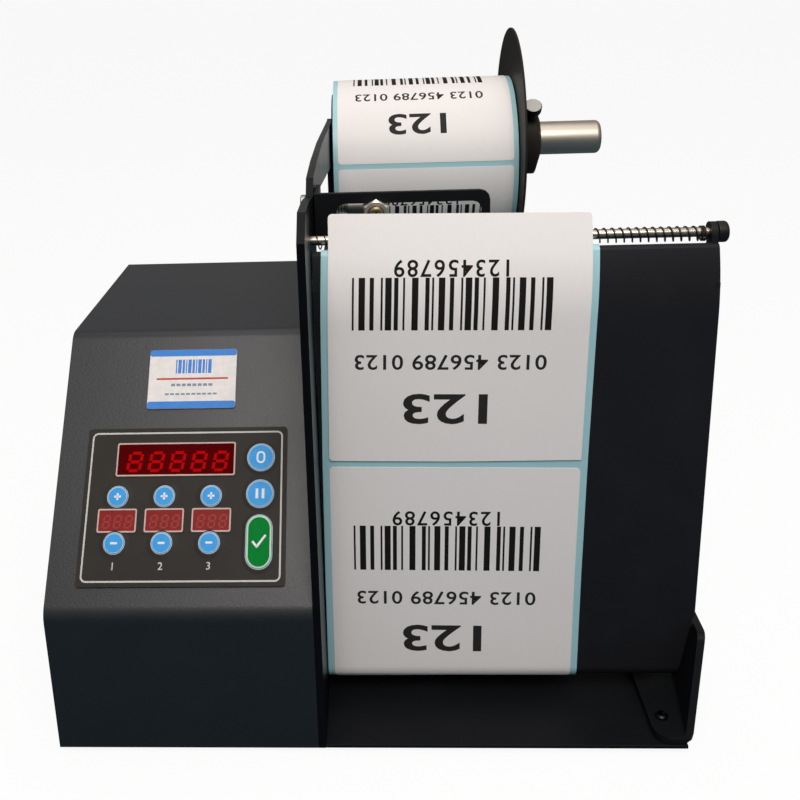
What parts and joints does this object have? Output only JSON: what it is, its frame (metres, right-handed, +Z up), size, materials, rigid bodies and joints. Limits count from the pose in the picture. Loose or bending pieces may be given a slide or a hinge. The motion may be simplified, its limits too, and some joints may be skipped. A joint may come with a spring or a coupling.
{
  "type": "label dispenser machine",
  "caption": "Desk label dispenser: keypad box, side plate with a roll arm, apron with a peel edge, slotted sensor bracket, spring-wound guide rod and driven liner rewinder.",
  "frame": {"origin": "middle of the machine's footprint, on the desk", "axes": "+X to the operator's right, +Y away from the operator, +Z up"},
  "size_m": [0.2724, 0.3426, 0.2701],
  "materials": {
    "black_powder_coat": "satin powder coat",
    "black_anodised": "black anodised",
    "brushed_steel": "brushed",
    "spring_steel": "dark oiled",
    "brass": "machined",
    "blue_key": "matte",
    "green_key": "matte",
    "overlay_film": "matte printed film",
    "red_window": "gloss",
    "white_plate": "satin",
    "black_plastic": "matte",
    "board_green": "satin",
    "black_rubber": "matte",
    "cardboard": "plain",
    "label_paper": "coated",
    "blue_liner": "glazed liner"
  },
  "bodies": {
    "chassis": {"housing_shell": "black_powder_coat", "box_bottom": "black_powder_coat", "rear_panel": "black_powder_coat", "name_plate": "white_plate", "keypad_overlay": "overlay_film", "counter_window": "red_window", "setting_window_1": "red_window", "setting_window_2": "red_window", "setting_window_3": "red_window", "control_board": "board_green", "power_inlet": "black_plastic", "foot_1": "black_rubber", "foot_2": "black_rubber", "foot_3": "black_rubber", "foot_4": "black_rubber", "frame_plate": "black_anodised", "base_plate": "black_powder_coat", "end_bracket": "black_powder_coat", "end_bracket_screw": "black_anodised", "apron": "black_powder_coat", "guide_rod": "brushed_steel", "rod_spring": "spring_steel", "rod_end_cap": "black_anodised", "sensor_bracket": "black_powder_coat", "bracket_stud": "brushed_steel", "sensor_lead": "black_plastic", "motor": "brushed_steel", "motor_bracket": "brushed_steel", "drive_belt": "black_rubber", "rewind_belt": "black_rubber", "web_guide_rod": "brushed_steel", "roll_shaft": "brushed_steel", "shaft_screw": "brushed_steel", "inner_flange": "black_plastic", "label_web": "blue_liner", "peeled_label": "label_paper"},
    "plus_key_1": {"plus_key_1": "blue_key"},
    "plus_key_2": {"plus_key_2": "blue_key"},
    "plus_key_3": {"plus_key_3": "blue_key"},
    "minus_key_1": {"minus_key_1": "blue_key"},
    "minus_key_2": {"minus_key_2": "blue_key"},
    "minus_key_3": {"minus_key_3": "blue_key"},
    "reset_key": {"reset_key": "blue_key"},
    "pause_key": {"pause_key": "blue_key"},
    "confirm_key": {"confirm_key": "green_key"},
    "power_rocker": {"power_rocker": "black_plastic"},
    "sensor": {"sensor_barrel": "brass", "sensor_nut_front": "brushed_steel", "sensor_nut_rear": "brushed_steel"},
    "roll": {"roll_core": "cardboard", "label_roll": "label_paper"},
    "outer_flange": {"outer_flange": "black_plastic"},
    "thumb_screw": {"thumb_screw": "brushed_steel"},
    "drive": {"drive_roller": "black_rubber", "roller_pulley": "black_plastic"},
    "pinch": {"pinch_roller": "brushed_steel"},
    "motor_shaft": {"motor_pulley": "black_plastic"},
    "rewind": {"rewind_spindle": "brushed_steel", "rewind_pulley": "black_plastic", "liner_roll": "blue_liner"}
  },
  "joints": [
    {"name": "plus_key_1_press", "type": "slide", "parent": "chassis", "child": "plus_key_1", "axis": [0, 0.7638, -0.6455], "range_m": [0, 0.0007], "stiffness_N_per_m": 1500, "springref_m": -0.0003},
    {"name": "plus_key_2_press", "type": "slide", "parent": "chassis", "child": "plus_key_2", "axis": [0, 0.7638, -0.6455], "range_m": [0, 0.0007], "stiffness_N_per_m": 1500, "springref_m": -0.0003},
    {"name": "plus_key_3_press", "type": "slide", "parent": "chassis", "child": "plus_key_3", "axis": [0, 0.7638, -0.6455], "range_m": [0, 0.0007], "stiffness_N_per_m": 1500, "springref_m": -0.0003},
    {"name": "minus_key_1_press", "type": "slide", "parent": "chassis", "child": "minus_key_1", "axis": [0, 0.7638, -0.6455], "range_m": [0, 0.0007], "stiffness_N_per_m": 1500, "springref_m": -0.0003},
    {"name": "minus_key_2_press", "type": "slide", "parent": "chassis", "child": "minus_key_2", "axis": [0, 0.7638, -0.6455], "range_m": [0, 0.0007], "stiffness_N_per_m": 1500, "springref_m": -0.0003},
    {"name": "minus_key_3_press", "type": "slide", "parent": "chassis", "child": "minus_key_3", "axis": [0, 0.7638, -0.6455], "range_m": [0, 0.0007], "stiffness_N_per_m": 1500, "springref_m": -0.0003},
    {"name": "reset_key_press", "type": "slide", "parent": "chassis", "child": "reset_key", "axis": [0, 0.7638, -0.6455], "range_m": [0, 0.0007], "stiffness_N_per_m": 1500, "springref_m": -0.0003},
    {"name": "pause_key_press", "type": "slide", "parent": "chassis", "child": "pause_key", "axis": [0, 0.7638, -0.6455], "range_m": [0, 0.0007], "stiffness_N_per_m": 1500, "springref_m": -0.0003},
    {"name": "confirm_key_press", "type": "slide", "parent": "chassis", "child": "confirm_key", "axis": [0, 0.7638, -0.6455], "range_m": [0, 0.0007], "stiffness_N_per_m": 1500, "springref_m": -0.0003},
    {"name": "rocker_tilt", "type": "hinge", "parent": "chassis", "child": "power_rocker", "pos_m": [-0.09115, 0.01, 0.031], "axis": [1, 0, 0], "range_deg": [-18, 0]},
    {"name": "sensor_slide", "type": "slide", "parent": "chassis", "child": "sensor", "axis": [1, 0, 0], "range_m": [-0.0012, 0.038], "deforming": ["sensor_lead"]},
    {"name": "flange_slide", "type": "slide", "parent": "chassis", "child": "outer_flange", "axis": [1, 0, 0], "range_m": [0, 0.03]},
    {"name": "thumb_screw_turn", "type": "hinge", "parent": "outer_flange", "child": "thumb_screw", "pos_m": [0.09245, 0.08495, 0.2234], "axis": [0, -0.7071, 0.7071], "range_deg": [0, 360]},
    {"name": "roll_spin", "type": "hinge", "parent": "chassis", "child": "roll", "pos_m": [0, 0.10475, 0.194], "axis": [1, 0, 0], "continuous": true},
    {"name": "rewind_spin", "type": "hinge", "parent": "chassis", "child": "rewind", "pos_m": [0, -0.04125, 0.103], "axis": [1, 0, 0], "continuous": true},
    {"name": "drive_spin", "type": "hinge", "parent": "chassis", "child": "drive", "pos_m": [0, -0.11125, 0.033], "axis": [1, 0, 0], "continuous": true},
    {"name": "pinch_spin", "type": "hinge", "parent": "chassis", "child": "pinch", "pos_m": [0, -0.13215, 0.033], "axis": [1, 0, 0], "continuous": true},
    {"name": "motor_spin", "type": "hinge", "parent": "chassis", "child": "motor_shaft", "pos_m": [0, -0.07125, 0.048], "axis": [1, 0, 0], "continuous": true}
  ],
  "couplings": [
    {"joint": "drive_spin", "follows": "roll_spin", "ratio": -4},
    {"joint": "pinch_spin", "follows": "roll_spin", "ratio": 6},
    {"joint": "motor_spin", "follows": "roll_spin", "ratio": -8},
    {"joint": "rewind_spin", "follows": "roll_spin", "ratio": -2.8571}
  ]
}
